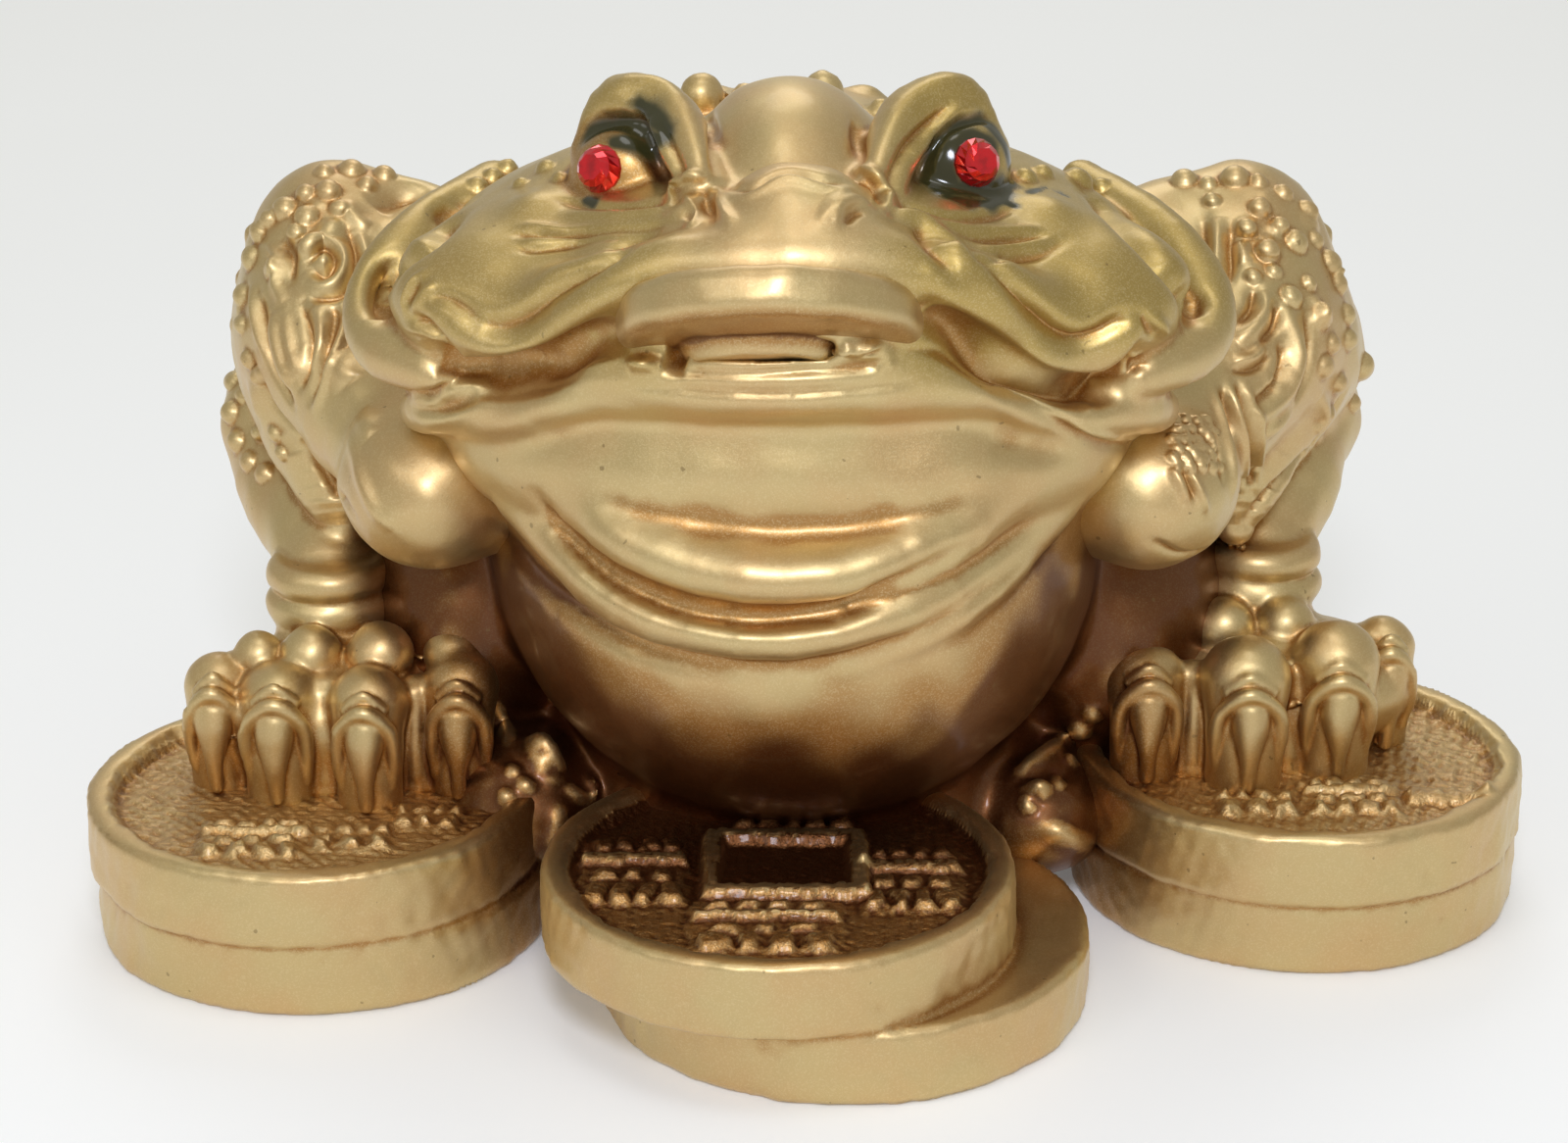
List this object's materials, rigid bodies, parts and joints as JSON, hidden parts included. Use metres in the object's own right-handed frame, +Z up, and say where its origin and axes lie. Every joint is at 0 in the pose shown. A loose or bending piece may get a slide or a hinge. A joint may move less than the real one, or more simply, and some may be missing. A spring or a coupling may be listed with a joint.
{
  "type": "money toad figure",
  "caption": "Small gold-painted cast figure of a broad three-legged toad that squats on stacks of coins and holds a coin in its mouth, with red faceted stones for eyes.",
  "frame": {"origin": "middle of the underside's bounding box, on the surface that the figure stands on", "axes": "+Z up, the toad faces -Y, and +X is to the right of someone who looks it in the face"},
  "size_m": [0.128, 0.106, 0.0763],
  "materials": {
    "gold_paint": "satin metallic gold paint with fine flake on cast filled resin",
    "red_stone": "polished faceted red glass"
  },
  "bodies": {
    "root": {"toad": "gold_paint", "mouth_coin": "gold_paint", "left_eye_stone": "red_stone", "right_eye_stone": "red_stone"}
  },
  "joints": []
}
